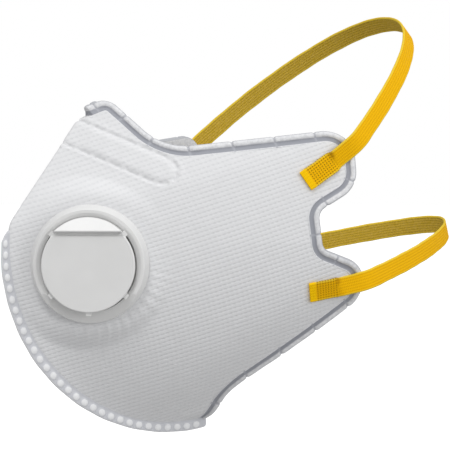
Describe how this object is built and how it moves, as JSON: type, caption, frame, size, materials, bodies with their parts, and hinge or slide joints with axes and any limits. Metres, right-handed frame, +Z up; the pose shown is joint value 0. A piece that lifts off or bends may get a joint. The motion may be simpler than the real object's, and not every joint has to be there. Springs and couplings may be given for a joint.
{
  "type": "disposable dust mask",
  "caption": "Preformed half-face dust mask with a welded front fin, a round exhalation valve and elastic head straps.",
  "frame": {"origin": "midway between the nose point and the chin point of the edge that seals on the face", "axes": "+X to the wearer's left, +Y backwards into the wearer's face, +Z up as worn"},
  "size_m": [0.112, 0.182, 0.1497],
  "materials": {
    "outer_web": "point-bonded nonwoven, matte",
    "filter_media": "soft felt",
    "lining_web": "smooth nonwoven",
    "welded_edge": "fused nonwoven, satin",
    "clip_metal": "satin",
    "foam": "soft open-cell foam",
    "valve_plastic": "moulded, satin",
    "valve_rubber": "smooth",
    "strap_elastic": "braided elastic"
  },
  "bodies": {
    "mask": {"outer_shell": "outer_web", "filter_layer": "filter_media", "inner_lining": "lining_web", "rim_weld": "welded_edge", "front_weld_seam": "welded_edge", "nose_clip": "clip_metal", "nose_foam": "foam", "valve_base": "valve_plastic", "valve_inner_ring": "valve_plastic", "flap_clamp": "valve_plastic", "valve_cap": "valve_plastic", "upper_strap_end_left": "strap_elastic", "upper_strap_end_right": "strap_elastic", "lower_strap_end_left": "strap_elastic", "lower_strap_end_right": "strap_elastic"},
    "flap": {"valve_flap": "valve_rubber"},
    "upper_loop": {"upper_strap": "strap_elastic"},
    "lower_loop": {"lower_strap": "strap_elastic"}
  },
  "joints": [
    {"name": "flap_hinge", "type": "hinge", "parent": "mask", "child": "flap", "pos_m": [0.01667, -0.03074, 0.00931], "axis": [-0.5299, -0.848, 0], "range_deg": [0, 8], "stiffness_Nm_per_rad": 0.0005, "springref_deg": -2.86},
    {"name": "upper_strap_swing", "type": "hinge", "parent": "mask", "child": "upper_loop", "pos_m": [0, 0.0438, 0.0362], "axis": [1, 0, 0], "range_deg": [-20, 60], "stiffness_Nm_per_rad": 0.02},
    {"name": "lower_strap_swing", "type": "hinge", "parent": "mask", "child": "lower_loop", "pos_m": [0, 0.0482, -0.0067], "axis": [1, 0, 0], "range_deg": [-60, 20], "stiffness_Nm_per_rad": 0.02}
  ]
}
